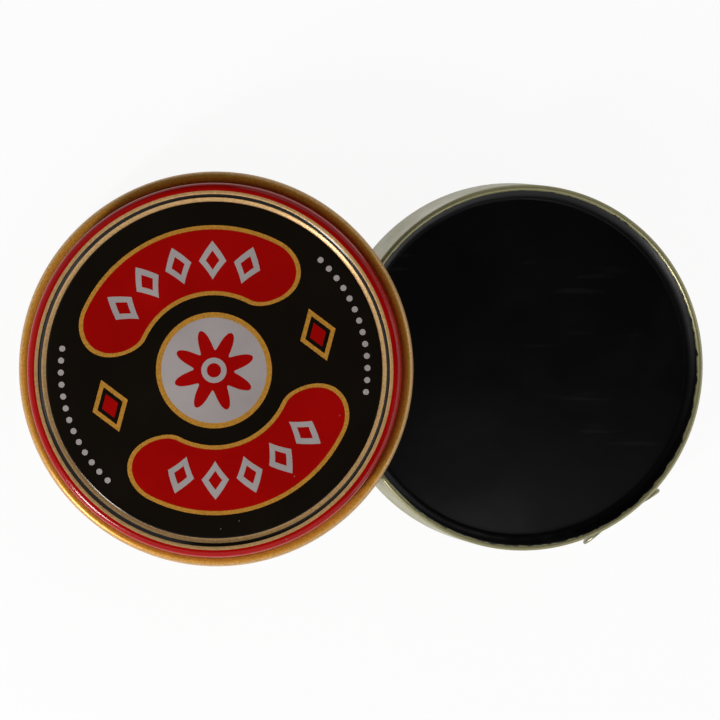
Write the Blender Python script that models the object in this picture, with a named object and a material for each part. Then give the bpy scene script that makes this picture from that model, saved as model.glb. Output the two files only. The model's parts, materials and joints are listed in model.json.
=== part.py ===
"""Shoe polish tin: a drawn cup of black polish with a twist key on its wall, and its lid leaning on the rim.

Metres, +Z up. The origin is the middle of the cup's underside, and the lid lies towards -X.
"""

import math

import bmesh
import bpy
import numpy as np

# Sheet and fits
SHEET = 0.0003  # tinplate thickness of cup and lid
FIT_GAP = 0.0003  # gap between pieces that touch
LID_FIT = 0.00025  # radial play of the lid's skirt on the cup

# Cup
CUP_RADIUS = 0.0335
CUP_HEIGHT = 0.0160
CUP_CORNER = 0.0025  # outside radius between wall and bottom
RIM_CURL = 0.00055  # radius of the rolled-in rim
RING_RADIUS = 0.0250  # stiffening ring pressed up into the bottom
RING_WIDTH = 0.0040
RING_RISE = 0.0006

# Polish
POLISH_DROP = 0.0030  # from the rim down to the flat of the polish
MENISCUS_RISE = 0.0012  # how far the polish climbs at the wall
MENISCUS_WIDTH = 0.0026

# Lid
LID_HEIGHT = 0.0070
LID_CORNER = 0.0012  # outside radius between the bead's crest and the skirt
BEAD_RISE = 0.0010  # crest of the edge bead above the panel
BEAD_LAND = 0.00035  # flat width of the crest
LID_CURL = 0.00105  # radius of the outward curl at the skirt's foot
CURL_BITE = 0.00015  # how far the curl is set into the skirt's face
LID_REACH = 0.0120  # how far the leaning lid reaches over the cup, seen from above

# Twist key and its rivet
KEY_ANGLE = math.radians(-54.0)  # where on the wall, from +X
KEY_AXIS_HEIGHT = 0.0064
KEY_TURN = math.radians(10.0)  # how far the key stands turned from level
KEY_SHEET = 0.0005
KEY_HUB_RADIUS = 0.0026
KEY_NECK = 0.0014  # half height of the necks between hub and wings
KEY_SPAN = 0.0086  # from the axis to a wing's tip
WING_LENGTH = 0.0066
WING_HEIGHT = 0.0048
WING_LIFT = 0.0006  # how far the tips are bent away from the wall
WING_CURVE = 1.3  # 1 bends the wings as flat plates, more curls them outwards
RIVET_SHANK = 0.0012  # radius
RIVET_HEAD = 0.0022  # radius of the outer head
RIVET_HEAD_RISE = 0.0004
RIVET_TAIL = 0.0019  # radius of the end closed over inside the cup
RIVET_TAIL_THICK = 0.0007
RIVET_PLAY = 0.0002  # radial play of the shank in the wall and in the key

# Facets
TIN_STEPS = 64
RIVET_STEPS = 24
ARC_STEP = math.radians(30)

# Sizes that follow
CUP_INSIDE = CUP_RADIUS - SHEET
SKIRT_INSIDE = CUP_RADIUS + LID_FIT
SKIRT_OUTSIDE = SKIRT_INSIDE + SHEET
CURL_CENTRE = SKIRT_OUTSIDE - CURL_BITE + LID_CURL
POLISH_LEVEL = CUP_HEIGHT - POLISH_DROP
POLISH_RADIUS = CUP_INSIDE - FIT_GAP
HUB_FACE = CUP_RADIUS + FIT_GAP  # the key's inner face, measured from the tin's axis
HEAD_FACE = HUB_FACE + KEY_SHEET + FIT_GAP
TAIL_FACE = math.sqrt(CUP_INSIDE**2 - RIVET_TAIL**2) - FIT_GAP


def clear_scene():
    """Remove whatever the file opened with."""
    for found in list(bpy.data.objects):
        bpy.data.objects.remove(found)


def finish(name, colour, metallic, roughness):
    """A plain material of one colour, given in linear values."""
    made = bpy.data.materials.new(name)
    made.use_nodes = True
    shader = made.node_tree.nodes["Principled BSDF"]
    shader.inputs["Base Color"].default_value = (*colour, 1.0)
    shader.inputs["Metallic"].default_value = metallic
    shader.inputs["Roughness"].default_value = roughness
    return made


def add_object(name, mesh, material=None, parent=None):
    """Put a mesh into the scene under a name, with its material and parent."""
    made = bpy.data.objects.new(name, mesh)
    if material:
        mesh.materials.append(material)
    made.parent = parent
    bpy.context.scene.collection.objects.link(made)
    return made


def add_empty(name, location, rotation):
    """A frame that pieces are parented to."""
    made = bpy.data.objects.new(name, None)
    made.location = location
    made.rotation_euler = rotation
    bpy.context.scene.collection.objects.link(made)
    return made


def arc(centre, radius, start, end):
    """Points (r, z) on a circle from one angle to another, both in degrees, ends included."""
    first, last = math.radians(start), math.radians(end)
    count = max(2, math.ceil(abs(last - first) / ARC_STEP))
    angles = [first + (last - first) * i / count for i in range(count + 1)]
    return [(centre[0] + radius * math.cos(a), centre[1] + radius * math.sin(a)) for a in angles]


def turned(name, profile, steps, material=None, parent=None):
    """Turn a profile of (r, z) points, which runs down its outer side, once round Z."""
    mesh = bpy.data.meshes.new(name)
    ends = [(i, i + 1) for i in range(len(profile) - 1)]
    mesh.from_pydata([(r, 0.0, z) for r, z in profile], ends, [])
    made = add_object(name, mesh, material, parent)
    screw = made.modifiers.new("Turn", "SCREW")
    screw.axis = "Z"
    screw.steps = steps
    screw.render_steps = steps
    screw.use_merge_vertices = True
    screw.merge_threshold = 1e-6
    screw.use_smooth_shade = True
    return made


def radial_rod(name, profile, parent):
    """A piece turned about the key's axis: its profile's z is the distance from the tin's axis."""
    made = turned(name, profile, RIVET_STEPS, None, parent)
    made.rotation_euler = (0.0, math.pi / 2, 0.0)
    return made


def cut_by_rod(target, name, radius, near, far, parent):
    """Cut a round hole along the key's axis, from one distance to another."""
    profile = [(0.0, far), (radius, far), (radius, near), (0.0, near)]
    cutter = radial_rod(name, profile, parent)
    cutter.hide_render = True
    cutter.display_type = "WIRE"
    hole = target.modifiers.new(name, "BOOLEAN")
    hole.operation = "DIFFERENCE"
    hole.solver = "EXACT"
    hole.object = cutter


def bottom_ring(level):
    """The pressed ring of the bottom at a height above its underside, from the middle outwards."""
    half, quarter = RING_WIDTH / 2, RING_WIDTH / 4
    return [
        (RING_RADIUS - half, level),
        (RING_RADIUS - quarter, level + RING_RISE),
        (RING_RADIUS + quarter, level + RING_RISE),
        (RING_RADIUS + half, level),
    ]


def make_cup(material, key_axis):
    """The drawn cup: bottom with its ring, round corner, wall and rolled-in rim."""
    corner = (CUP_RADIUS - CUP_CORNER, CUP_CORNER)
    rim = (CUP_RADIUS - RIM_CURL, CUP_HEIGHT - RIM_CURL)
    meets_wall = -math.degrees(math.acos((RIM_CURL - SHEET) / RIM_CURL))
    profile = [(0.0, SHEET)]
    profile += bottom_ring(SHEET)
    profile += arc(corner, CUP_CORNER - SHEET, -90, 0)
    profile += arc(rim, RIM_CURL, meets_wall, -360)
    profile += arc(corner, CUP_CORNER, 0, -90)
    profile += bottom_ring(0.0)[::-1]
    profile += [(0.0, 0.0)]
    cup = turned("base_cup", profile, TIN_STEPS, material)
    cut_by_rod(cup, "rivet_hole_in_wall", RIVET_SHANK + RIVET_PLAY, TAIL_FACE, HUB_FACE, key_axis)


def make_polish(material, key_axis):
    """The cast polish: it follows the bottom, climbs a little at the wall and sets round the rivet's end."""
    corner = (CUP_RADIUS - CUP_CORNER, CUP_CORNER)
    profile = [(0.0, POLISH_LEVEL)]
    for share in (0.0, 0.4, 0.7, 0.9, 1.0):
        out = POLISH_RADIUS - MENISCUS_WIDTH * (1.0 - share)
        profile.append((out, POLISH_LEVEL + MENISCUS_RISE * share**2))
    profile += arc(corner, CUP_CORNER - SHEET - FIT_GAP, 0, -90)
    profile += bottom_ring(SHEET + FIT_GAP)[::-1]
    profile += [(0.0, SHEET + FIT_GAP)]
    cake = turned("polish_cake", profile, TIN_STEPS, material)
    pocket_floor = TAIL_FACE - RIVET_TAIL_THICK - FIT_GAP
    cut_by_rod(cake, "rivet_pocket", RIVET_TAIL + FIT_GAP, pocket_floor, CUP_RADIUS, key_axis)


def lid_profile():
    """The lid's section: panel, edge bead, corner, skirt and outward curl, then back along its inside."""
    panel = LID_HEIGHT - BEAD_RISE
    crest_outer = (SKIRT_OUTSIDE - LID_CORNER, LID_HEIGHT - LID_CORNER)
    crest_inner = (crest_outer[0] - BEAD_LAND, crest_outer[1])
    slope_top = LID_CORNER * math.sin(math.pi / 4)
    foot = crest_inner[0] - slope_top - (crest_inner[1] + slope_top - panel)
    under = LID_CORNER - SHEET
    foot_under = foot + SHEET * (math.sqrt(2) - 1)
    curl = (CURL_CENTRE, LID_CURL)
    meets_skirt = math.degrees(math.acos((SKIRT_OUTSIDE - CURL_CENTRE) / LID_CURL))
    turn_in = CURL_CENTRE - SKIRT_INSIDE
    profile = [(0.0, panel), (foot, panel)]
    profile += arc(crest_inner, LID_CORNER, 135, 90)
    profile += arc(crest_outer, LID_CORNER, 90, 0)
    profile += arc(curl, LID_CURL, meets_skirt, -90)
    profile += arc((CURL_CENTRE, turn_in), turn_in, -90, -180)[1:]
    profile += arc(crest_outer, under, 0, 90)
    profile += arc(crest_inner, under, 90, 135)
    profile += [(foot_under, panel - SHEET), (0.0, panel - SHEET)]
    return profile


def lid_frame(lean):
    """The place of the lid's curl plane for a lean: its curl stands on the floor and reaches over the rim."""
    reach = CURL_CENTRE * math.cos(lean) - LID_CURL * math.sin(lean) + LID_CURL
    across = LID_REACH - CUP_RADIUS - reach
    up = CURL_CENTRE * math.sin(lean) + LID_CURL * (1.0 - math.cos(lean))
    return across, up


def rim_clearance(lean):
    """The gap between the leaning lid's curl and the cup's rim, negative while the curl is too low."""
    turn = np.radians(np.arange(0.0, 360.0, 0.5))
    across, up = lid_frame(lean)
    out = CURL_CENTRE * np.cos(turn)
    curl_x = across + out * math.cos(lean) - LID_CURL * math.sin(lean)
    curl_y = CURL_CENTRE * np.sin(turn)
    curl_z = up + out * math.sin(lean) + LID_CURL * math.cos(lean)
    rim_radius = CUP_RADIUS - RIM_CURL
    rim_z = CUP_HEIGHT - RIM_CURL
    # The nearest point of a level circle is straight across, towards the circle's own axis.
    beside = np.hypot(curl_x, curl_y) - rim_radius
    apart = np.hypot(beside, curl_z - rim_z)
    nearest = int(np.argmin(apart))
    gap = apart[nearest] - RIM_CURL - LID_CURL
    return gap if curl_z[nearest] > rim_z else -1.0


def resting_lean():
    """The lean at which the lid's curl comes to rest on the rim, found by halving."""
    low, high = 0.0, math.radians(60.0)
    for _ in range(50):
        middle = (low + high) / 2
        if rim_clearance(middle) < FIT_GAP:
            low = middle
        else:
            high = middle
    return high


def make_lid(material):
    """The lid, leaning from the floor on to the cup's rim."""
    lean = resting_lean()
    across, up = lid_frame(lean)
    seat = add_empty("lid_seat", (across, 0.0, up), (0.0, -lean, 0.0))
    turned("lid_shell", lid_profile(), TIN_STEPS, material, seat)


def key_half_height(out):
    """Half the key's height at a distance from its axis: hub, neck, then an oval wing."""
    hub = math.sqrt(max(0.0, KEY_HUB_RADIUS**2 - out**2))
    along = (out - KEY_SPAN + WING_LENGTH / 2) / (WING_LENGTH / 2)
    wing = WING_HEIGHT / 2 * math.sqrt(max(0.0, 1.0 - along**2))
    neck = KEY_NECK if along < 0.0 else 0.0
    return max(hub, wing, neck)


def key_lift(out):
    """How far the key stands off its hub's plane at a distance from its axis."""
    share = (out - KEY_HUB_RADIUS) / (KEY_SPAN - KEY_HUB_RADIUS)
    return WING_LIFT * max(0.0, share) ** WING_CURVE


def make_key(material, key_axis):
    """The stamped twist key: a plate with two oval wings, bent outwards, and a hole for its rivet."""
    hub_steps, wing_steps, rows = 5, 9, 4
    wing_start = KEY_SPAN - WING_LENGTH
    outs = [wing_start * i / hub_steps for i in range(hub_steps)]
    for i in range(wing_steps + 1):
        turn = math.pi * (0.04 + 0.90 * i / wing_steps)
        outs.append(wing_start + WING_LENGTH / 2 * (1.0 - math.cos(turn)))
    sides = [-out for out in outs[:0:-1]] + outs
    plate = bmesh.new()
    grid = []
    for side in sides:
        out = abs(side)
        x, half = HUB_FACE + key_lift(out), key_half_height(out)
        levels = [half * (2.0 * j / rows - 1.0) for j in range(rows + 1)]
        grid.append([plate.verts.new((x, side, z)) for z in levels])
    for left, right in zip(grid, grid[1:]):
        for j in range(rows):
            plate.faces.new((left[j], right[j], right[j + 1], left[j + 1]))
    mesh = bpy.data.meshes.new("opener_key")
    plate.to_mesh(mesh)
    plate.free()
    mesh.shade_smooth()
    key = add_object("opener_key", mesh, material, key_axis)
    key.rotation_euler = (KEY_TURN, 0.0, 0.0)
    thick = key.modifiers.new("Sheet", "SOLIDIFY")
    thick.thickness = KEY_SHEET
    thick.offset = 1.0
    cut_by_rod(key, "rivet_hole_in_key", RIVET_SHANK + RIVET_PLAY, CUP_INSIDE, HEAD_FACE, key_axis)


def make_rivet(material, key_axis):
    """The rivet: domed head outside, shank through key and wall, tail closed over inside."""
    tail_end = TAIL_FACE - RIVET_TAIL_THICK
    dome = []
    for share in (0.0, 0.4, 0.75, 1.0):
        height = HEAD_FACE + RIVET_HEAD_RISE * math.sqrt(1.0 - 0.9 * share**2)
        dome.append((RIVET_HEAD * share, height))
    profile = dome + [
        (RIVET_HEAD, HEAD_FACE),
        (RIVET_SHANK, HEAD_FACE),
        (RIVET_SHANK, TAIL_FACE),
        (RIVET_TAIL, TAIL_FACE),
        (RIVET_TAIL, tail_end),
        (0.0, tail_end),
    ]
    rivet = radial_rod("key_rivet", profile, key_axis)
    rivet.data.materials.append(material)


def main():
    """Build every piece."""
    clear_scene()
    cup_finish = finish("lacquered_tinplate", (0.47, 0.42, 0.23), 1.0, 0.35)
    polish_finish = finish("black_wax_polish", (0.004, 0.004, 0.004), 0.0, 0.25)
    lid_finish = finish("printed_tinplate", (0.30, 0.01, 0.005), 0.3, 0.3)
    key_finish = finish("plain_tinplate", (0.55, 0.55, 0.53), 1.0, 0.4)
    rivet_finish = finish("tinned_steel", (0.50, 0.50, 0.48), 1.0, 0.35)
    key_axis = add_empty("key_axis", (0.0, 0.0, KEY_AXIS_HEIGHT), (0.0, 0.0, KEY_ANGLE))
    make_cup(cup_finish, key_axis)
    make_polish(polish_finish, key_axis)
    make_lid(lid_finish)
    make_key(key_finish, key_axis)
    make_rivet(rivet_finish, key_axis)


main()
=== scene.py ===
"""Shoe polish tin, dressed: lacquered cup, cast black polish, printed lid, twist key and a studio stage.

Laid out as an add-on. Lengths are metres in the part's own frame, and the print's sizes are millimetres.
"""

import json
import math

import bpy
import numpy as np
from bpy.props import FloatProperty, FloatVectorProperty, PointerProperty
from mathutils import Matrix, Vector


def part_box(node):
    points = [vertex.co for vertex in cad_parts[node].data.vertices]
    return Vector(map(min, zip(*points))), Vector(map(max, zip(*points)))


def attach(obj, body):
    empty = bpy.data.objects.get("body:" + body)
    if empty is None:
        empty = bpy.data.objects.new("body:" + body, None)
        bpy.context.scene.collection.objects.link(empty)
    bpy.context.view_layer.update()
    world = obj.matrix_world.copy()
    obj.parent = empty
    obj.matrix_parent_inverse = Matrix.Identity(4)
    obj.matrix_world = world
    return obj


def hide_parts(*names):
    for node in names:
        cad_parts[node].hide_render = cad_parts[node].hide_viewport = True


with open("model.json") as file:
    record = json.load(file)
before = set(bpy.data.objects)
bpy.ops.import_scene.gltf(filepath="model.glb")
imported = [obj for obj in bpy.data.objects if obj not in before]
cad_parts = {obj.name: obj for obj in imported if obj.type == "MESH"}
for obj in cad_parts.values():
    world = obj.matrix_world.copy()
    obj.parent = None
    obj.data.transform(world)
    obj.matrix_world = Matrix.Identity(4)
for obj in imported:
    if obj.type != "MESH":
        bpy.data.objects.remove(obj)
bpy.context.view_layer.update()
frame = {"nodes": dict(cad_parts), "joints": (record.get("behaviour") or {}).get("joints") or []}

bl_info = {
    "name": "Shoe Polish Tin",
    "version": (1, 0, 0),
    "blender": (4, 5, 0),
    "location": "View3D > Sidebar > Polish Tin",
    "description": "Dresses the frame of a shoe polish tin with its fine surfaces and finishes",
    "category": "Add Mesh",
}

MM = 0.001
AROUND = 288  # facets round the tin
CUP_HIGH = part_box("base_cup")[1]
LID_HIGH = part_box("lid_shell")[1]
KEY_JOINT = next(joint for joint in frame["joints"] if joint["name"] == "key_turn")


def to_linear(text):
    """An sRGB hex colour as linear red, green, blue and alpha."""
    value = np.array([int(text[i:i + 2], 16) for i in (1, 3, 5)]) / 255
    linear = np.where(value <= 0.04045, value / 12.92, ((value + 0.055) / 1.055) ** 2.4)
    return (*linear.tolist(), 1.0)


def length(name, description, default):
    """The settings of a length property, in metres."""
    return dict(name=name, description=description, default=default, unit="LENGTH", precision=5)


def colour(name, description, text):
    """The settings of a colour property."""
    shown = dict(name=name, description=description, subtype="COLOR", size=4, min=0, max=1)
    return dict(shown, default=to_linear(text))


class TinSizes(bpy.types.PropertyGroup):
    """Sizes of the tin that the fine surfaces follow."""

    sheet: FloatProperty(**length("Sheet", "Thickness of the tinplate", 0.0003))
    cup_radius: FloatProperty(**length("Cup radius", "Outside of the cup's wall", CUP_HIGH.x))
    cup_height: FloatProperty(**length("Cup height", "From the table to the rim", CUP_HIGH.z))
    cup_corner: FloatProperty(**length("Cup corner", "Radius between wall and bottom", 0.0025))
    rim_curl: FloatProperty(**length("Rim curl", "Radius of the rolled-in rim", 0.00055))
    ring_radius: FloatProperty(**length("Bottom ring", "Radius of the ring pressed into the bottom", 0.025))
    ring_width: FloatProperty(**length("Ring width", "Width of the pressed ring", 0.004))
    ring_rise: FloatProperty(**length("Ring rise", "Height of the pressed ring", 0.0006))
    polish_drop: FloatProperty(**length("Polish drop", "From the rim down to the polish", 0.003))
    meniscus_rise: FloatProperty(**length("Meniscus rise", "How far the polish climbs the wall", 0.0012))
    meniscus_width: FloatProperty(**length("Meniscus width", "Width of the climbing edge", 0.0026))
    lid_radius: FloatProperty(**length("Lid radius", "Outside of the lid's curl", LID_HIGH.y))
    lid_height: FloatProperty(**length("Lid height", "From the curl's foot to the bead's crest", 0.007))
    lid_corner: FloatProperty(**length("Lid corner", "Radius between bead and skirt", 0.0012))
    bead_rise: FloatProperty(**length("Bead rise", "Crest of the bead above the panel", 0.001))
    bead_land: FloatProperty(**length("Bead land", "Flat width of the bead's crest", 0.00035))
    lid_curl: FloatProperty(**length("Lid curl", "Radius of the curl at the skirt's foot", 0.00105))
    curl_bite: FloatProperty(**length("Curl bite", "How far the curl is set into the skirt", 0.00015))
    key_sheet: FloatProperty(**length("Key sheet", "Thickness of the twist key", 0.0005))
    key_hub: FloatProperty(**length("Key hub", "Radius of the key's hub", 0.0026))
    key_span: FloatProperty(**length("Key span", "From the key's axis to a wing's tip", 0.0086))
    wing_length: FloatProperty(**length("Wing length", "Length of a wing", 0.0066))
    wing_height: FloatProperty(**length("Wing height", "Height of a wing", 0.0048))
    wing_lift: FloatProperty(**length("Wing lift", "How far the tips stand off the hub", 0.0006))
    rivet_shank: FloatProperty(**length("Rivet shank", "Radius of the rivet's shank", 0.0012))
    rivet_head: FloatProperty(**length("Rivet head", "Radius of the rivet's head", 0.0022))
    key_turn: FloatProperty(
        name="Key turn",
        description="How far the key stands turned from level",
        default=math.radians(10.0),
        subtype="ANGLE",
    )
    rivet_rise: FloatProperty(**length("Rivet rise", "Height of the rivet's domed head", 0.0004))
    gap: FloatProperty(**length("Gap", "Gap between the wall, the key and the rivet's head", 0.0003))


class TinColours(bpy.types.PropertyGroup):
    """Colours of the inks, lacquers and metals."""

    black_ink: FloatVectorProperty(**colour("Black ink", "Field of the lid's print", "#120D08"))
    red_ink: FloatVectorProperty(**colour("Red ink", "Bands and ring of the lid's print", "#9A0503"))
    pale_ink: FloatVectorProperty(**colour("Pale ink", "Roundel and pips of the lid's print", "#A39A98"))
    gold: FloatVectorProperty(**colour("Gold lacquer", "Lacquer over bright tinplate", "#C68C34"))
    pale_gold: FloatVectorProperty(**colour("Worn gold", "Lacquer rubbed thin on bead and curl", "#C49C68"))
    cup_lacquer: FloatVectorProperty(**colour("Cup lacquer", "Pale lacquer of the cup", "#918D68"))
    polish: FloatVectorProperty(**colour("Polish", "Black wax", "#040404"))
    tinplate: FloatVectorProperty(**colour("Tinplate", "Bare tinplate of key and rivet", "#98947C"))
    floor: FloatVectorProperty(**colour("Floor", "The stage's floor", "#FAFAFA"))


def arc(centre, radius, start, end, step=6.0):
    """Points (r, z) on a circle from one angle to another in degrees, ends included."""
    count = max(2, math.ceil(abs(end - start) / step))
    turn = np.radians(np.linspace(start, end, count + 1))
    return np.stack([centre[0] + radius * np.cos(turn), centre[1] + radius * np.sin(turn)], -1)


def run(start, end, count):
    """Points (r, z) on a straight line, its end left out."""
    share = np.linspace(0.0, 1.0, count, endpoint=False)[:, None]
    return np.asarray(start) + share * (np.asarray(end) - np.asarray(start))


def surface(name, grid, poles=None):
    """A closed surface through a grid of points.

    Rows follow the section and columns go round, so the last column meets the first. With poles, a point
    closes the first row and another the last one; without, the last row meets the first.
    """
    rows, columns = grid.shape[:2]
    index = np.arange(rows * columns).reshape(rows, columns)
    if poles is None:
        index = np.concatenate([index, index[:1]])
    after = np.roll(index, -1, axis=1)
    faces = np.stack([index[:-1], index[1:], after[1:], after[:-1]], -1).reshape(-1, 4).tolist()
    points = grid.reshape(-1, 3)
    if poles is not None:
        first, last = len(points), len(points) + 1
        points = np.concatenate([points, poles])
        top = np.stack([np.full(columns, first), index[0], after[0]], -1)
        bottom = np.stack([index[-1], np.full(columns, last), after[-1]], -1)
        faces += top.tolist() + bottom.tolist()
    mesh = bpy.data.meshes.new(name)
    mesh.from_pydata(points.tolist(), [], faces)
    mesh.shade_smooth()
    return mesh


def turned_grid(profile, around=AROUND):
    """Rings of a turned shape: point (i, j) is profile point i at turn j about the Z axis."""
    turn = np.linspace(0.0, 2.0 * np.pi, around, endpoint=False)
    out, up = profile[:, :1], profile[:, 1:]
    return np.stack([out * np.cos(turn), out * np.sin(turn), up + 0.0 * turn], -1)


def turned(name, profile, around=AROUND):
    """A turned mesh. The profile starts and ends on the axis and runs down its outer side."""
    poles = np.stack([0 * profile[[0, -1], 0], 0 * profile[[0, -1], 0], profile[[0, -1], 1]], -1)
    return surface(name, turned_grid(profile[1:-1], around), poles)


def points_of(mesh):
    """A mesh's points as rows of three numbers."""
    flat = np.empty(len(mesh.vertices) * 3)
    mesh.vertices.foreach_get("co", flat)
    return flat.reshape(-1, 3)


def lid_place():
    """The lid's own frame, from its CAD node: a turned shape spreads least along its axis."""
    points = np.unique(points_of(frame["nodes"]["lid_shell"].data).round(7), axis=0)
    centre = points.mean(0)
    axis = np.linalg.eigh(np.cov((points - centre).T))[1][:, 0]
    axis = axis * np.sign(axis[2])
    foot = centre + axis * ((points - centre) @ axis).min()
    across = np.cross((0.0, 1.0, 0.0), axis)
    across = across / np.linalg.norm(across)
    turn = np.stack([across, np.cross(axis, across), axis], -1)
    return Matrix.Translation(foot) @ Matrix(turn.tolist()).to_4x4()


def key_place(height):
    """The key's frame: X along its axis from the tin's own axis outwards, Z up."""
    axis = KEY_JOINT["axis"]
    return Matrix.Translation((0.0, 0.0, height)) @ Matrix.Rotation(math.atan2(axis[1], axis[0]), 4, "Z")


def add_piece(name, mesh, materials, body, slot, *nodes):
    """Put a finished mesh into the scene as a piece that rides on a body and stands for CAD nodes."""
    piece = bpy.data.objects.new(name, mesh)
    bpy.context.scene.collection.objects.link(piece)
    for material in materials:
        mesh.materials.append(material)
    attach(piece, body)
    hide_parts(*nodes)
    return piece


def add(tree, kind, sockets=None, **settings):
    """Add a node with its own settings, and fill its sockets, by name or number, with links or values."""
    made = tree.nodes.new(kind)
    for name, value in settings.items():
        setattr(made, name, value)
    for key, value in (sockets or {}).items():
        if isinstance(value, bpy.types.Node):
            value = value.outputs[0]
        if isinstance(value, bpy.types.NodeSocket):
            tree.links.new(value, made.inputs[key])
        else:
            made.inputs[key].default_value = value
    return made


def new_material(name):
    """An empty material, its node tree and its Principled shader."""
    made = bpy.data.materials.new(name)
    made.use_nodes = True
    return made, made.node_tree, made.node_tree.nodes["Principled BSDF"]


def per_mm(size):
    """The texture scale whose features are about so many millimetres, on coordinates in metres."""
    return 1.0 / (size * MM)


def from_axis(tree, place):
    """The distance from the tin's axis: the length of X and Y alone."""
    split = add(tree, "ShaderNodeSeparateXYZ", {0: place})
    flat = add(tree, "ShaderNodeCombineXYZ", {0: split.outputs[0], 1: split.outputs[1]})
    return add(tree, "ShaderNodeVectorMath", {0: flat}, operation="LENGTH").outputs["Value"]


def towards(tree, place, side, radius):
    """How far a point lies to one side: the dot product with that side, whole at the given radius."""
    slope = tuple(share / radius for share in side)
    return add(tree, "ShaderNodeVectorMath", {0: place, 1: slope}, operation="DOT_PRODUCT").outputs["Value"]


def dress(tree, shader, shade, dull, bump):
    """Link a colour, a roughness and a bump to the shader."""
    tree.links.new(shade.outputs[0], shader.inputs["Base Color"])
    tree.links.new(dull.outputs[0], shader.inputs["Roughness"])
    tree.links.new(bump.outputs[0], shader.inputs["Normal"])


LACQUER_METAL = 0.5  # share of bare metal that shows through the lacquer
SMEAR_INSIDE, SMEAR_OUTSIDE = 0.2 * MM, 0.85 * MM  # reach of the smears about the rim's inner edge
SMEAR_START, SMEAR_FULL = 1.12, 1.24
SMEAR_SIDE = (-0.09, -0.11, 0.0)  # the side on which the smears are heavier, and by how much


def lacquered_tinplate(name, lacquer, sizes, polish=None):
    """Rolled tinplate under clear tinted lacquer.

    It gives the eye a soft metal sheen with faint drawing streaks up the wall, a fine grain and, where polish
    is given, black smears left by the cloth along the inside of the rim.
    """
    material, tree, shader = new_material(name)
    place = add(tree, "ShaderNodeTexCoord").outputs["Object"]
    stretch = add(tree, "ShaderNodeMapping", {0: place, "Scale": (1.0, 1.0, 0.05)})
    streak = add(tree, "ShaderNodeTexNoise", {"Vector": stretch, "Scale": per_mm(0.6), "Detail": 3.0})
    grain = add(tree, "ShaderNodeTexNoise", {"Vector": place, "Scale": per_mm(0.35), "Detail": 2.0})
    cloud = add(tree, "ShaderNodeTexNoise", {"Vector": place, "Scale": per_mm(9.0), "Detail": 4.0})
    tone = add(tree, "ShaderNodeMapRange", {0: streak, 1: 0.3, 2: 0.7, 3: 0.94, 4: 1.03})
    shade = add(tree, "ShaderNodeMixRGB", {0: 1.0, 1: lacquer, 2: tone}, blend_type="MULTIPLY")
    dull = add(tree, "ShaderNodeMapRange", {0: cloud, 1: 0.3, 2: 0.7, 3: 0.30, 4: 0.46})
    if polish is not None:
        out = from_axis(tree, place)
        inner = sizes.cup_radius - 2.0 * sizes.rim_curl
        start, end = inner - SMEAR_INSIDE, inner + SMEAR_OUTSIDE
        near = add(tree, "ShaderNodeMapRange", {0: out, 1: start, 2: end, 3: 1.0, 4: 0.0})
        patch = add(tree, "ShaderNodeTexNoise", {"Vector": place, "Scale": per_mm(1.7), "Detail": 6.0})
        smear = add(tree, "ShaderNodeMath", {0: near, 1: patch}, operation="ADD")
        side = towards(tree, place, SMEAR_SIDE, sizes.cup_radius)
        smear = add(tree, "ShaderNodeMath", {0: smear, 1: side}, operation="ADD")
        smear = add(tree, "ShaderNodeMapRange", {0: smear, 1: SMEAR_START, 2: SMEAR_FULL, 3: 0.0, 4: 1.0})
        shade = add(tree, "ShaderNodeMixRGB", {0: smear, 1: shade, 2: polish})
        metal = add(tree, "ShaderNodeMapRange", {0: smear, 1: 0.0, 2: 1.0, 3: LACQUER_METAL, 4: 0.0})
        tree.links.new(metal.outputs[0], shader.inputs["Metallic"])
    else:
        shader.inputs["Metallic"].default_value = LACQUER_METAL
    bump = add(tree, "ShaderNodeBump", {"Strength": 0.12, "Distance": 0.05 * MM, "Height": grain})
    dress(tree, shader, shade, dull, bump)
    return material


def stamped_tinplate(name, tint):
    """Bright tinplate, stamped and handled: grey metal with fine rubbing marks and dull fingerprints."""
    material, tree, shader = new_material(name)
    place = add(tree, "ShaderNodeTexCoord").outputs["Object"]
    askew = {0: place, "Rotation": (0.3, 0.5, 0.2), "Scale": (1.0, 0.1, 1.0)}
    stretch = add(tree, "ShaderNodeMapping", askew)
    rub = add(tree, "ShaderNodeTexNoise", {"Vector": stretch, "Scale": per_mm(0.3), "Detail": 3.0})
    cloud = add(tree, "ShaderNodeTexNoise", {"Vector": place, "Scale": per_mm(2.5), "Detail": 4.0})
    tone = add(tree, "ShaderNodeMapRange", {0: cloud, 1: 0.3, 2: 0.7, 3: 0.8, 4: 1.05})
    shade = add(tree, "ShaderNodeMixRGB", {0: 1.0, 1: tint, 2: tone}, blend_type="MULTIPLY")
    dull = add(tree, "ShaderNodeMapRange", {0: rub, 1: 0.3, 2: 0.7, 3: 0.28, 4: 0.5})
    bump = add(tree, "ShaderNodeBump", {"Strength": 0.15, "Distance": 0.04 * MM, "Height": rub})
    shader.inputs["Metallic"].default_value = 1.0
    dress(tree, shader, shade, dull, bump)
    return material


WAX_IOR = 1.44
DRY_MOST = 0.38  # roughness that the dried edge adds at the wall
GLOSS_FADE_START, GLOSS_FADE_FULL = 0.19, 0.32  # dryness plus painted shade, between which the gloss fades
PAINTED_SHADE_SIDE = (0.03, -0.15, 0.0)  # the side on which the polish's edge takes less gloss, and by how much: painted shade that keeps the edge dark at the front
WAX_GLOSS, LEAST_GLOSS = 0.5, 0.06


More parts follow.
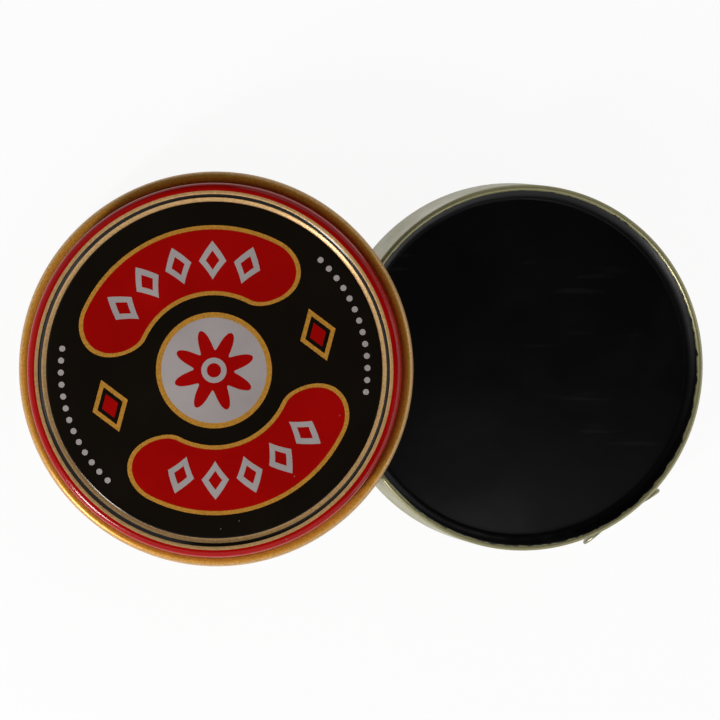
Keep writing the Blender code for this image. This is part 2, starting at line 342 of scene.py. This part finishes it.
def cast_wax(name, black, sizes):
    """Wax polish poured hot and set.

    It gives the eye a near black gloss with slow ripples, clouds of dull breath, a few wipe lines, and a dull
    crumbled edge where the polish has dried up the wall. Towards the front that edge takes less gloss still,
    as painted shade.
    """
    material, tree, shader = new_material(name)
    place = add(tree, "ShaderNodeTexCoord").outputs["Object"]
    turn = add(tree, "ShaderNodeMapping", {0: place, "Rotation": (0.0, 0.0, 0.62), "Scale": (0.08, 1.0, 1.0)})
    wipe = add(tree, "ShaderNodeTexNoise", {"Vector": turn, "Scale": per_mm(1.6), "Detail": 4.0})
    swirl = {"Vector": place, "Scale": per_mm(16.0), "Detail": 5.0, "Distortion": 0.6}
    cloud = add(tree, "ShaderNodeTexNoise", swirl)
    ripple = add(tree, "ShaderNodeTexNoise", {"Vector": place, "Scale": per_mm(9.0), "Detail": 2.0})
    haze = add(tree, "ShaderNodeMapRange", {0: cloud, 1: 0.42, 2: 0.72, 3: 0.0, 4: 1.0})
    line = add(tree, "ShaderNodeMapRange", {0: wipe, 1: 0.62, 2: 0.70, 3: 0.0, 4: 1.0})
    mark = add(tree, "ShaderNodeMath", {0: haze, 1: line}, operation="MULTIPLY")
    breath = add(tree, "ShaderNodeMapRange", {0: haze, 1: 0.0, 2: 1.0, 3: 0.15, 4: 0.21})
    out = from_axis(tree, place)
    wall = sizes.cup_radius - sizes.sheet
    edge = {0: out, 1: wall - sizes.meniscus_width, 2: wall, 3: 0.0, 4: DRY_MOST}
    dry = add(tree, "ShaderNodeMapRange", edge)
    dull = add(tree, "ShaderNodeMath", {0: breath, 1: dry}, operation="ADD")
    crumb = add(tree, "ShaderNodeTexNoise", {"Vector": place, "Scale": per_mm(0.7), "Detail": 4.0})
    crumb = add(tree, "ShaderNodeMath", {0: crumb, 1: dry}, operation="MULTIPLY")
    height = add(tree, "ShaderNodeMath", {0: crumb, 1: 4.0, 2: ripple}, operation="MULTIPLY_ADD")
    tone = add(tree, "ShaderNodeMapRange", {0: mark, 1: 0.0, 2: 1.0, 3: 0.8, 4: 6.0})
    shade = add(tree, "ShaderNodeMixRGB", {0: 1.0, 1: black, 2: tone}, blend_type="MULTIPLY")
    bump = add(tree, "ShaderNodeBump", {"Strength": 0.2, "Distance": 0.1 * MM, "Height": height})
    # Painted shade: the edge takes less gloss towards the front, so that its band stays dark there.
    side = towards(tree, place, PAINTED_SHADE_SIDE, sizes.cup_radius)
    dry_and_shade = add(tree, "ShaderNodeMath", {0: dry, 1: side}, operation="ADD")
    fade = {0: dry_and_shade, 1: GLOSS_FADE_START, 2: GLOSS_FADE_FULL, 3: WAX_GLOSS, 4: LEAST_GLOSS}
    sheen = add(tree, "ShaderNodeMapRange", fade)
    shader.inputs["IOR"].default_value = WAX_IOR
    tree.links.new(sheen.outputs[0], shader.inputs["Specular IOR Level"])
    dress(tree, shader, shade, dull, bump)
    return material


# The lid's print, in millimetres from the middle of the panel: rings from the middle outwards.
RINGS = (
    (0.0, "black_ink", 0.0),
    (30.60, "pale_gold", 1.0),
    (31.38, "black_ink", 0.0),
    (31.92, "pale_gold", 1.0),
    (32.62, "red_ink", 0.0),
    (34.02, "gold", 1.0),
    (35.45, "pale_gold", 1.0),
)
RING_SCALE = 40.0  # radius at which the ring ramp ends
ROUNDEL, ROUNDEL_LINE = 9.6, 0.95
PETAL_MEAN, PETAL_DEPTH, PETALS = 5.6, 1.9, 8.0
EYE_RING, EYE_DOT = 2.3, 1.3
BAND_MIDDLE, BAND_HALF, BAND_LINE = 20.0, 5.6, 0.75
BAND_ENDS = math.radians(46.0)
PIP_COUNT, PIP_PITCH, PIP_HALF_WIDTH, PIP_HALF_HEIGHT = 5, 6.4, 2.5, 3.5
PIP_OPENING = 0.5  # share of a pip that is left open
LOZENGE_MIDDLE, LOZENGE_HALF_WIDTH, LOZENGE_HALF_HEIGHT = 20.0, 3.4, 5.0
LOZENGE_FIELD, LOZENGE_HEART = 0.72, 0.46  # shares of the lozenge inside its gold line
DOT_RING, DOT_RADIUS = 27.9, 0.55
DOT_PITCH = DOT_RING * math.pi / 2 / 20  # twenty steps to a quarter turn
DOT_START = math.radians(62.0)
PRINT_TURN = math.radians(19.0)
VARNISH_GLOSS = 0.28
GOLD_METAL = 0.26  # share of bare metal that shows through the gold lacquer
GOLD_DULL = (0.32, 0.32, 0.32, 1.0)  # roughness of the gold


def printed_tinplate(name, inks):
    """Litho print on tinplate: opaque inks and clear gold lacquer under gloss varnish.

    It gives the eye flat crisp inks with a sharp gloss and bare gold lines that glint. The panel holds a
    rosette in a pale roundel between two arched red bands set with pale lozenges.
    """
    material, tree, shader = new_material(name)
    plane = add(tree, "ShaderNodeAttribute", attribute_name="print_plane").outputs["Vector"]
    split = add(tree, "ShaderNodeSeparateXYZ", {0: plane})
    x, y = split.outputs[0], split.outputs[1]
    wide = add(tree, "ShaderNodeMath", {0: x}, operation="ABSOLUTE")
    tall = add(tree, "ShaderNodeMath", {0: y}, operation="ABSOLUTE")
    out = add(tree, "ShaderNodeVectorMath", {0: plane}, operation="LENGTH").outputs["Value"]
    turn = add(tree, "ShaderNodeMath", {0: y, 1: x}, operation="ARCTAN2")
    lean = add(tree, "ShaderNodeMath", {0: wide, 1: tall}, operation="ARCTAN2")

    ramp_at = add(tree, "ShaderNodeMath", {0: out, 1: RING_SCALE}, operation="DIVIDE")
    ramp = add(tree, "ShaderNodeValToRGB", {0: ramp_at})
    ramp.color_ramp.interpolation = "CONSTANT"
    stops = ramp.color_ramp.elements
    stops.remove(stops[1])
    for number, (start, ink, metal) in enumerate(RINGS):
        stop = stops[0] if number == 0 else stops.new(start / RING_SCALE)
        stop.color = (*getattr(inks, ink)[:3], metal)

    past_end = add(tree, "ShaderNodeMath", {0: lean, 1: BAND_ENDS}, operation="SUBTRACT")
    past_end = add(tree, "ShaderNodeMath", {0: past_end, 1: 0.0}, operation="MAXIMUM")
    past_end = add(tree, "ShaderNodeMath", {0: past_end, 1: BAND_MIDDLE}, operation="MULTIPLY")
    off_middle = add(tree, "ShaderNodeMath", {0: out, 1: BAND_MIDDLE}, operation="SUBTRACT")
    band_at = add(tree, "ShaderNodeCombineXYZ", {0: past_end, 1: off_middle})
    band = add(tree, "ShaderNodeVectorMath", {0: band_at}, operation="LENGTH").outputs["Value"]

    along = add(tree, "ShaderNodeMath", {0: lean, 1: BAND_MIDDLE}, operation="MULTIPLY")
    step = add(tree, "ShaderNodeMath", {0: along, 1: PIP_PITCH / 2}, operation="PINGPONG")
    step = add(tree, "ShaderNodeMath", {0: step, 1: 1 / PIP_HALF_WIDTH}, operation="MULTIPLY")
    rise = add(tree, "ShaderNodeMath", {0: off_middle}, operation="ABSOLUTE")
    pip = add(tree, "ShaderNodeMath", {0: rise, 1: 1 / PIP_HALF_HEIGHT, 2: step}, operation="MULTIPLY_ADD")
    in_band = add(tree, "ShaderNodeMath", {0: along, 1: PIP_COUNT * PIP_PITCH / 2}, operation="LESS_THAN")

    sideways = add(tree, "ShaderNodeMath", {0: wide, 1: LOZENGE_MIDDLE}, operation="SUBTRACT")
    sideways = add(tree, "ShaderNodeMath", {0: sideways}, operation="ABSOLUTE")
    sideways = add(tree, "ShaderNodeMath", {0: sideways, 1: 1 / LOZENGE_HALF_WIDTH}, operation="MULTIPLY")
    lozenge = add(tree, "ShaderNodeMath", {0: tall, 1: 1 / LOZENGE_HALF_HEIGHT}, operation="MULTIPLY")
    lozenge = add(tree, "ShaderNodeMath", {0: lozenge, 1: sideways}, operation="ADD")

    dot_along = add(tree, "ShaderNodeMath", {0: lean, 1: DOT_RING}, operation="MULTIPLY")
    dot_along = add(tree, "ShaderNodeMath", {0: dot_along, 1: DOT_PITCH / 2}, operation="PINGPONG")
    dot_off = add(tree, "ShaderNodeMath", {0: out, 1: DOT_RING}, operation="SUBTRACT")
    dot_at = add(tree, "ShaderNodeCombineXYZ", {0: dot_along, 1: dot_off})
    dot = add(tree, "ShaderNodeVectorMath", {0: dot_at}, operation="LENGTH").outputs["Value"]
    at_side = add(tree, "ShaderNodeMath", {0: lean, 1: DOT_START}, operation="GREATER_THAN")

    petals = add(tree, "ShaderNodeMath", {0: turn, 1: PETALS}, operation="MULTIPLY")
    petals = add(tree, "ShaderNodeMath", {0: petals}, operation="COSINE")
    petals = add(tree, "ShaderNodeMath", {0: petals, 1: PETAL_DEPTH, 2: PETAL_MEAN}, operation="MULTIPLY_ADD")
    petal = add(tree, "ShaderNodeMath", {0: out, 1: petals}, operation="SUBTRACT")

    shapes = (
        (band, BAND_HALF + BAND_LINE, None, inks.gold, 1.0),
        (band, BAND_HALF, None, inks.red_ink, 0.0),
        (pip, 1.0, in_band, inks.pale_ink, 0.0),
        (pip, PIP_OPENING, in_band, inks.red_ink, 0.0),
        (lozenge, 1.0, None, inks.gold, 1.0),
        (lozenge, LOZENGE_FIELD, None, inks.black_ink, 0.0),
        (lozenge, LOZENGE_HEART, None, inks.red_ink, 0.0),
        (dot, DOT_RADIUS, at_side, inks.pale_ink, 0.0),
        (out, ROUNDEL + ROUNDEL_LINE, None, inks.gold, 1.0),
        (out, ROUNDEL, None, inks.pale_ink, 0.0),
        (petal, 0.0, None, inks.red_ink, 0.0),
        (out, EYE_RING, None, inks.pale_ink, 0.0),
        (out, EYE_DOT, None, inks.red_ink, 0.0),
    )
    ink, metal = ramp.outputs["Color"], ramp.outputs["Alpha"]
    for distance, limit, only, shape_ink, shape_metal in shapes:
        mask = add(tree, "ShaderNodeMath", {0: distance, 1: limit}, operation="LESS_THAN")
        if only is not None:
            mask = add(tree, "ShaderNodeMath", {0: mask, 1: only}, operation="MULTIPLY")
        ink = add(tree, "ShaderNodeMixRGB", {0: mask, 1: ink, 2: tuple(shape_ink)})
        metal = add(tree, "ShaderNodeMixRGB", {0: mask, 1: metal, 2: (shape_metal,) * 3 + (1.0,)})

    place = add(tree, "ShaderNodeTexCoord").outputs["Object"]
    grain = add(tree, "ShaderNodeTexNoise", {"Vector": place, "Scale": per_mm(0.4), "Detail": 2.0})
    cloud = add(tree, "ShaderNodeTexNoise", {"Vector": place, "Scale": per_mm(12.0), "Detail": 4.0})
    peel = add(tree, "ShaderNodeTexNoise", {"Vector": place, "Scale": per_mm(2.0), "Detail": 2.0})
    speckle = add(tree, "ShaderNodeMapRange", {0: grain, 1: 0.25, 2: 0.75, 3: 0.72, 4: 1.18})
    density = add(tree, "ShaderNodeMapRange", {0: cloud, 1: 0.3, 2: 0.7, 3: 0.88, 4: 1.06})
    mottle = add(tree, "ShaderNodeMixRGB", {0: metal, 1: density, 2: speckle})
    shade = add(tree, "ShaderNodeMixRGB", {0: 1.0, 1: ink, 2: mottle}, blend_type="MULTIPLY")
    cells = add(tree, "ShaderNodeTexVoronoi", {"Vector": place, "Scale": per_mm(1.6)})
    chosen = add(tree, "ShaderNodeMath", {0: cells.outputs["Color"], 1: 0.86}, operation="GREATER_THAN")
    speck = add(tree, "ShaderNodeMath", {0: cells.outputs["Distance"], 1: 0.07}, operation="LESS_THAN")
    dust = add(tree, "ShaderNodeMath", {0: speck, 1: chosen}, operation="MULTIPLY")
    dust = add(tree, "ShaderNodeMath", {0: dust, 1: 0.35}, operation="MULTIPLY")
    shade = add(tree, "ShaderNodeMixRGB", {0: dust, 1: shade, 2: tuple(inks.pale_ink)})
    breath = add(tree, "ShaderNodeMapRange", {0: cloud, 1: 0.3, 2: 0.7, 3: 0.12, 4: 0.2})
    dull = add(tree, "ShaderNodeMixRGB", {0: metal, 1: breath, 2: GOLD_DULL})
    bright = add(tree, "ShaderNodeMath", {0: metal, 1: GOLD_METAL}, operation="MULTIPLY")
    bump = add(tree, "ShaderNodeBump", {"Strength": 0.08, "Distance": 0.05 * MM, "Height": peel})
    shader.inputs["Specular IOR Level"].default_value = VARNISH_GLOSS
    tree.links.new(bright.outputs[0], shader.inputs["Metallic"])
    dress(tree, shader, shade, dull, bump)
    return material


def bottom_ring(sizes, level):
    """The pressed ring at a height, from the middle outwards: half a cosine wave up and down."""
    share = np.linspace(-1.0, 1.0, 25)
    out = sizes.ring_radius + share * sizes.ring_width / 2
    up = level + sizes.ring_rise * (0.5 + 0.5 * np.cos(np.pi * share))
    return np.stack([out, up], -1)


def cup_profile(sizes):
    """The cup's section: floor with its ring, round corner, wall, rolled-in rim, then down the outside."""
    radius, sheet, curl = sizes.cup_radius, sizes.sheet, sizes.rim_curl
    corner = (radius - sizes.cup_corner, sizes.cup_corner)
    rim = (radius - curl, sizes.cup_height - curl)
    meets_wall = -math.degrees(math.acos((curl - sheet) / curl))
    inside, outside = (radius - sheet, sizes.cup_corner), (radius, rim[1])
    return np.concatenate([
        [(0.0, sheet)],
        bottom_ring(sizes, sheet),
        arc(corner, sizes.cup_corner - sheet, -90, 0),
        run(inside, (inside[0], rim[1] - curl), 10)[1:],
        arc(rim, curl, meets_wall, -360),
        run(outside, (radius, sizes.cup_corner), 16)[1:],
        arc(corner, sizes.cup_corner, 0, -90),
        bottom_ring(sizes, 0.0)[::-1],
        [(0.0, 0.0)],
    ])


PANEL_CROWN = 0.12 * MM  # rise of the panel's middle
PANEL_GROOVE = 0.10 * MM  # depth of the groove beside the bead
GROOVE_INSET, GROOVE_WIDTH = 0.30 * MM, 0.18 * MM


def lid_profile(sizes):
    """The lid's section from the middle of its top: panel, groove, bead, skirt, curl, then back inside.

    The panel is a parabola less a bell-shaped groove, and the rest is arcs and straight runs that meet.
    Returns the points and the number of the point where the inside begins.
    """
    sheet, corner, curl = sizes.sheet, sizes.lid_corner, sizes.lid_curl
    panel = sizes.lid_height - sizes.bead_rise
    centre = sizes.lid_radius - curl
    skirt = centre + sizes.curl_bite - curl
    crest_outer = (skirt - corner, sizes.lid_height - corner)
    crest_inner = (crest_outer[0] - sizes.bead_land, crest_outer[1])
    slope = corner * math.sin(math.pi / 4)
    foot = crest_inner[0] - slope - (crest_inner[1] + slope - panel)
    under = corner - sheet
    inner_foot = foot + sheet * (math.sqrt(2) - 1)
    meets_skirt = math.degrees(math.acos((skirt - centre) / curl))
    turn_in = centre - skirt + sheet
    out = np.concatenate([np.linspace(0.0, 0.94 * foot, 30), np.linspace(0.95 * foot, foot, 24)])
    bell = np.exp(-(((out - foot + GROOVE_INSET) / GROOVE_WIDTH) ** 2))
    dome = PANEL_CROWN * (1.0 - (out / foot) ** 2)
    top = np.stack([out, panel + dome - PANEL_GROOVE * bell], -1)
    outside = np.concatenate([
        top,
        arc(crest_inner, corner, 135, 90),
        arc(crest_outer, corner, 90, 0),
        run((skirt, crest_outer[1]), (skirt, 2.4 * curl), 10)[1:],
        arc((centre, curl), curl, meets_skirt, -90),
    ])
    inside = np.concatenate([
        arc((centre, turn_in), turn_in, -90, -180)[1:],
        run((skirt - sheet, turn_in), (skirt - sheet, crest_outer[1]), 8)[1:],
        arc(crest_outer, under, 0, 90),
        arc(crest_inner, under, 90, 135),
        [(inner_foot, panel - sheet)],
        run((0.97 * inner_foot, panel - sheet), (0.0, panel - sheet), 12),
        [(0.0, panel - sheet)],
    ])
    return np.concatenate([outside, inside]), len(outside)


WAX_CLEAR = 0.02 * MM  # keeps the polish off the cup's sheet
SINK_DEPTH = 0.05 * MM


def polish_grid(sizes):
    """The polish as rings: its top is level with slow sink marks, and its edge climbs the wall unevenly.

    The climb is the square of the share across the edge, times a rise that wanders round the tin as a sum of
    sines, with a ragged stretch at the front where the cloth has dragged polish up.
    """
    turn = np.linspace(0.0, 2.0 * np.pi, AROUND, endpoint=False)[None, :]
    wall = sizes.cup_radius - sizes.sheet - WAX_CLEAR
    level = sizes.cup_height - sizes.polish_drop
    flat = wall - sizes.meniscus_width
    middle, edge = np.linspace(0.8 * MM, flat, 44, endpoint=False), np.linspace(flat, wall, 26)
    out = np.concatenate([middle, edge])[:, None]
    share = np.clip((out - flat) / sizes.meniscus_width, 0.0, 1.0)
    wander = 0.5 + 0.22 * np.sin(3 * turn + 0.6) + 0.16 * np.sin(7 * turn + 2.1) + 0.12 * np.sin(13 * turn)
    front = np.clip(np.sin(turn + np.pi - 0.15), 0.0, 1.0) ** 3
    ragged = front * (np.sin(31 * turn + 1.0) * np.sin(17 * turn) * 0.5 + 0.5 * np.sin(47 * turn + 0.4))
    rise = sizes.meniscus_rise * (0.75 + 0.3 * wander + 0.28 * ragged)
    sink = np.sin(out / (7.0 * MM) + 2.0 * np.cos(turn)) * np.cos(2 * turn + out / (11.0 * MM))
    up = level + rise * share**2 + SINK_DEPTH * sink * (out / wall) * (1.0 - share)
    top = np.stack([out * np.cos(turn), out * np.sin(turn), up], -1)
    foot = sizes.sheet + WAX_CLEAR
    corner = (sizes.cup_radius - sizes.cup_corner, sizes.cup_corner)
    side = np.concatenate([
        arc(corner, sizes.cup_corner - sizes.sheet - WAX_CLEAR, 0, -90),
        bottom_ring(sizes, foot)[::-1],
    ])
    poles = np.array([(0.0, 0.0, level), (0.0, 0.0, foot)])
    return np.concatenate([top, turned_grid(side)]), poles


KEY_PLAY = 0.2 * MM  # between the key's hole and the shank
KEY_EDGE = 0.18 * MM  # rounding of the key's edge
WING_BEND = 1.3
WING_DISH = 0.3 * MM  # depth of the hollow pressed into each wing


def key_grid(sizes, steps=360):
    """The key as sections carried round its rivet: hole edge, front face, rounded edge and back face.

    The outline is the farther of the hub's circle and the wing's oval along each ray from the axis. The sheet
    stands off the hub's plane by the lift times the share of the way to the tip, to the power of the bend,
    less a bell-shaped hollow in each wing.
    """
    turn = np.linspace(0.0, 2.0 * np.pi, steps, endpoint=False)[:, None]
    cosine, sine = np.abs(np.cos(turn)), np.abs(np.sin(turn))
    half_long, half_tall = sizes.wing_length / 2, sizes.wing_height / 2
    middle = sizes.key_span - half_long
    a = (cosine / half_long) ** 2 + (sine / half_tall) ** 2
    b = middle * cosine / half_long**2
    inside = b**2 - a * ((middle / half_long) ** 2 - 1.0)
    far = np.where(inside > 0.0, (b + np.sqrt(np.clip(inside, 0.0, None))) / a, 0.0)
    outline = np.maximum(far, sizes.key_hub)
    for _ in range(3):
        outline = (np.roll(outline, 1, 0) + 2.0 * outline + np.roll(outline, -1, 0)) / 4.0
    hole = sizes.rivet_shank + KEY_PLAY
    share = np.linspace(0.0, 1.0, 14)[None, :]
    face = hole + (outline - KEY_EDGE - hole) * share
    bend = np.linspace(0.0, np.pi, 9)[None, 1:-1]
    lip = outline - KEY_EDGE + KEY_EDGE * np.sin(bend)
    out = np.concatenate([face, lip, face[:, ::-1]], 1)
    lip_depth = np.broadcast_to(0.5 + 0.5 * np.cos(bend), lip.shape)
    depth = np.concatenate([np.ones_like(face), lip_depth, np.zeros_like(face)], 1)
    side, up = out * np.cos(turn), out * np.sin(turn)
    away = np.clip((np.abs(side) - sizes.key_hub) / (sizes.key_span - sizes.key_hub), 0.0, None)
    dish = ((np.abs(side) - middle) / (0.62 * half_long)) ** 2 + (up / (0.58 * half_tall)) ** 2
    lift = sizes.wing_lift * away**WING_BEND - WING_DISH * np.exp(-(dish**2))
    plane = sizes.cup_radius + sizes.gap + lift + sizes.key_sheet * depth
    return np.stack([plane, side, up], -1).transpose(1, 0, 2)[::-1]


class TIN_OT_cup(bpy.types.Operator):
    """Make the drawn cup with its rolled rim"""

    bl_idname = "tin.cup"
    bl_label = "Cup"

    def execute(self, context):
        sizes, inks = context.scene.tin_sizes, context.scene.tin_colours
        tint, black = tuple(inks.cup_lacquer), tuple(inks.polish)
        lacquer = lacquered_tinplate("lacquered_drawn_tinplate", tint, sizes, black)
        mesh = turned("tin_cup", cup_profile(sizes))
        add_piece("tin_cup", mesh, [lacquer], "cup", "lacquered_tinplate", "base_cup")
        return {"FINISHED"}


class TIN_OT_polish(bpy.types.Operator):
    """Make the cast polish in the cup"""

    bl_idname = "tin.polish"
    bl_label = "Polish"

    def execute(self, context):
        sizes, inks = context.scene.tin_sizes, context.scene.tin_colours
        mesh = surface("wax_polish", *polish_grid(sizes))
        wax = cast_wax("cast_black_wax", tuple(inks.polish), sizes)
        add_piece("wax_polish", mesh, [wax], "cup", "black_polish", "polish_cake")
        return {"FINISHED"}


class TIN_OT_lid(bpy.types.Operator):
    """Make the printed lid that leans on the cup"""

    bl_idname = "tin.lid"
    bl_label = "Lid"

    def execute(self, context):
        sizes, inks = context.scene.tin_sizes, context.scene.tin_colours
        profile, inside_from = lid_profile(sizes)
        mesh = turned("printed_lid", profile)
        print_turn = np.array(Matrix.Rotation(-PRINT_TURN, 3, "Z"))
        plane = points_of(mesh) @ print_turn.T / MM
        plane[:, 2] = 0.0
        mesh.attributes.new("print_plane", "FLOAT_VECTOR", "POINT").data.foreach_set("vector", plane.ravel())
        litho = printed_tinplate("litho_printed_tinplate", inks)
        bare = lacquered_tinplate("lacquered_lid_inside", tuple(inks.pale_gold), sizes)
        faces = len(mesh.polygons)
        rows = np.arange(faces - 2 * AROUND) // AROUND
        slots = np.concatenate([rows >= inside_from - 2, np.zeros(AROUND, bool), np.ones(AROUND, bool)])
        mesh.transform(lid_place())
        add_piece("printed_lid", mesh, [litho, bare], "lid", "printed_tinplate", "lid_shell")
        mesh.polygons.foreach_set("material_index", slots.astype(np.int32))
        return {"FINISHED"}


RIVET_FACETS = 64
RIVET_TAIL, RIVET_TAIL_EDGE, RIVET_TAIL_THICK = 1.9 * MM, 0.6 * MM, 0.7 * MM
DOME_END = 12.0  # degrees above level where the dome of the head meets its edge
SHARP = math.radians(40.0)


class TIN_OT_key(bpy.types.Operator):
    """Make the twist key and its rivet"""

    bl_idname = "tin.key"
    bl_label = "Twist Key"

    def execute(self, context):
        sizes, inks = context.scene.tin_sizes, context.scene.tin_colours
        place = key_place(KEY_JOINT["pos_m"][2])
        key = surface("twist_key", key_grid(sizes))
        key.transform(place @ Matrix.Rotation(sizes.key_turn, 4, "X"))
        tin = stamped_tinplate("stamped_tinplate", tuple(inks.tinplate))
        add_piece("twist_key", key, [tin], "key", "plain_tinplate", "opener_key")
        head = sizes.cup_radius + 2.0 * sizes.gap + sizes.key_sheet
        tail = sizes.cup_radius - sizes.sheet - sizes.gap
        dome = arc((0.0, head), 1.0, 90, DOME_END) * (sizes.rivet_head, 1.0)
        dome[:, 1] = head + (dome[:, 1] - head) * sizes.rivet_rise
        profile = np.concatenate([
            dome,
            [(sizes.rivet_head, head), (sizes.rivet_shank, head), (sizes.rivet_shank, tail)],
            [(RIVET_TAIL, tail), (RIVET_TAIL, tail - RIVET_TAIL_EDGE), (0.0, tail - RIVET_TAIL_THICK)],
        ])
        profile[0, 0] = 0.0
        rivet = turned("rivet", profile, RIVET_FACETS)
        rivet.set_sharp_from_angle(angle=SHARP)
        rivet.transform(place @ Matrix.Rotation(math.pi / 2, 4, "Y"))
        steel = stamped_tinplate("tinned_steel", tuple(inks.tinplate))
        add_piece("rivet", rivet, [steel], "cup", "rivet_steel", "key_rivet")
        return {"FINISHED"}


# The camera stands far off over the lid and looks down across both pieces with a long lens.
CAMERA_AT = (-0.32978, 0.06525, 1.47827)
CAMERA_LOOKS = (0.20011, -0.04254, -0.97885)
CAMERA_LENS, CAMERA_SENSOR = 410.39, 36.0  # millimetres
FLOOR_HALF = 3.0
FLOOR_GLOW = 0.92  # share of the paper's own white in what is seen of it
LAMPS = (
    # name, place, width, height, watts
    ("front_softbox", (-0.05, -0.55, 0.40), 1.20, 0.60, 1.6),
    ("left_softbox", (-0.62, 0.10, 0.32), 0.80, 0.60, 0.5),
    ("right_softbox", (0.60, -0.18, 0.32), 0.90, 0.60, 2.3),
    ("back_softbox", (0.40, 0.52, 0.36), 1.20, 0.70, 1.8),
    ("corner_lamp", (-0.52, -0.40, 0.26), 0.11, 0.28, 3.8),
    ("ceiling_card", (0.137, -0.115, 0.62), 0.08, 0.11, 0.017),
)
SKY = 0.03  # the dim room above the softboxes


def studio_floor(name, white):
    """Seamless white paper: an even pale sheet that still takes a soft shadow.

    Most of what a camera or a glossy ray sees is the paper's own white, so that it stays white in metal too.
    """
    material, tree, shader = new_material(name)
    place = add(tree, "ShaderNodeTexCoord").outputs["Object"]
    grain = add(tree, "ShaderNodeTexNoise", {"Vector": place, "Scale": per_mm(0.8), "Detail": 2.0})
    fibre = add(tree, "ShaderNodeBump", {"Strength": 0.05, "Distance": 0.05 * MM, "Height": grain})
    shader.inputs["Base Color"].default_value = white
    shader.inputs["Roughness"].default_value = 0.9
    tree.links.new(fibre.outputs[0], shader.inputs["Normal"])
    path = add(tree, "ShaderNodeLightPath")
    camera, glossy = path.outputs["Is Camera Ray"], path.outputs["Is Glossy Ray"]
    seen = add(tree, "ShaderNodeMath", {0: camera, 1: glossy}, operation="MAXIMUM")
    seen = add(tree, "ShaderNodeMath", {0: seen, 1: path.outputs["Is Transmission Ray"]}, operation="MAXIMUM")
    share = add(tree, "ShaderNodeMath", {0: seen, 1: FLOOR_GLOW}, operation="MULTIPLY")
    glow = add(tree, "ShaderNodeEmission", {"Color": (1.0, 1.0, 1.0, 1.0), "Strength": 1.0})
    both = add(tree, "ShaderNodeMixShader", {0: share, 1: shader, 2: glow})
    tree.links.new(both.outputs[0], tree.nodes["Material Output"].inputs["Surface"])
    return material


class TIN_OT_stage(bpy.types.Operator):
    """Make the floor, the lamps and the camera"""

    bl_idname = "tin.stage"
    bl_label = "Stage"

    def execute(self, context):
        scene = context.scene
        corners = FLOOR_HALF * np.array([(-1, -1, 0), (1, -1, 0), (1, 1, 0), (-1, 1, 0)])
        mesh = bpy.data.meshes.new("paper_floor")
        mesh.from_pydata(corners.tolist(), [], [(0, 1, 2, 3)])
        mesh.materials.append(studio_floor("seamless_paper", tuple(scene.tin_colours.floor)))
        floor = bpy.data.objects.new("paper_floor", mesh)
        scene.collection.objects.link(floor)
        for name, place, wide, tall, watts in LAMPS:
            lamp = bpy.data.lights.new(name, "AREA")
            lamp.shape = "RECTANGLE"
            lamp.size, lamp.size_y, lamp.energy = wide, tall, watts
            holder = bpy.data.objects.new(name, lamp)
            holder.location = place
            holder.rotation_euler = (-holder.location).to_track_quat("-Z", "Y").to_euler()
            scene.collection.objects.link(holder)
        world = bpy.data.worlds.new("studio_dim")
        world.use_nodes = True
        world.node_tree.nodes["Background"].inputs["Color"].default_value = (SKY, SKY, SKY, 1.0)
        scene.world = world
        look = np.array(CAMERA_LOOKS) / np.linalg.norm(CAMERA_LOOKS)
        right = np.cross(look, (0.0, 1.0, 0.0))
        right = right / np.linalg.norm(right)
        turn = np.stack([right, np.cross(right, look), -look], -1)
        camera = bpy.data.objects.new("camera", bpy.data.cameras.new("camera"))
        camera.data.lens = CAMERA_LENS
        camera.data.sensor_width = CAMERA_SENSOR
        camera.data.clip_start = 0.01
        camera.matrix_world = Matrix.Translation(CAMERA_AT) @ Matrix(turn.tolist()).to_4x4()
        scene.collection.objects.link(camera)
        scene.camera = camera
        scene.view_settings.view_transform = "Standard"
        return {"FINISHED"}


class TIN_PT_panel(bpy.types.Panel):
    """The tin's pieces, one button each"""

    bl_idname = "TIN_PT_panel"
    bl_label = "Polish Tin"
    bl_space_type = "VIEW_3D"
    bl_region_type = "UI"
    bl_category = "Polish Tin"

    def draw(self, context):
        for maker in OPERATORS:
            self.layout.operator(maker.bl_idname)
        for group in (context.scene.tin_sizes, context.scene.tin_colours):
            box = self.layout.box()
            for name in group.__annotations__:
                box.prop(group, name)


OPERATORS = (TIN_OT_cup, TIN_OT_polish, TIN_OT_lid, TIN_OT_key, TIN_OT_stage)
CLASSES = (TinSizes, TinColours, *OPERATORS, TIN_PT_panel)


def register():
    """Register the classes and hang the settings on the scene."""
    for cls in CLASSES:
        bpy.utils.register_class(cls)
    bpy.types.Scene.tin_sizes = PointerProperty(type=TinSizes)
    bpy.types.Scene.tin_colours = PointerProperty(type=TinColours)


def unregister():
    """Take the settings and the classes away again."""
    del bpy.types.Scene.tin_colours
    del bpy.types.Scene.tin_sizes
    for cls in reversed(CLASSES):
        bpy.utils.unregister_class(cls)


def main():
    """Build every piece and the stage."""
    register()
    bpy.ops.tin.cup()
    bpy.ops.tin.polish()
    bpy.ops.tin.lid()
    bpy.ops.tin.key()
    bpy.ops.tin.stage()


if __name__ == "__main__":
    main()
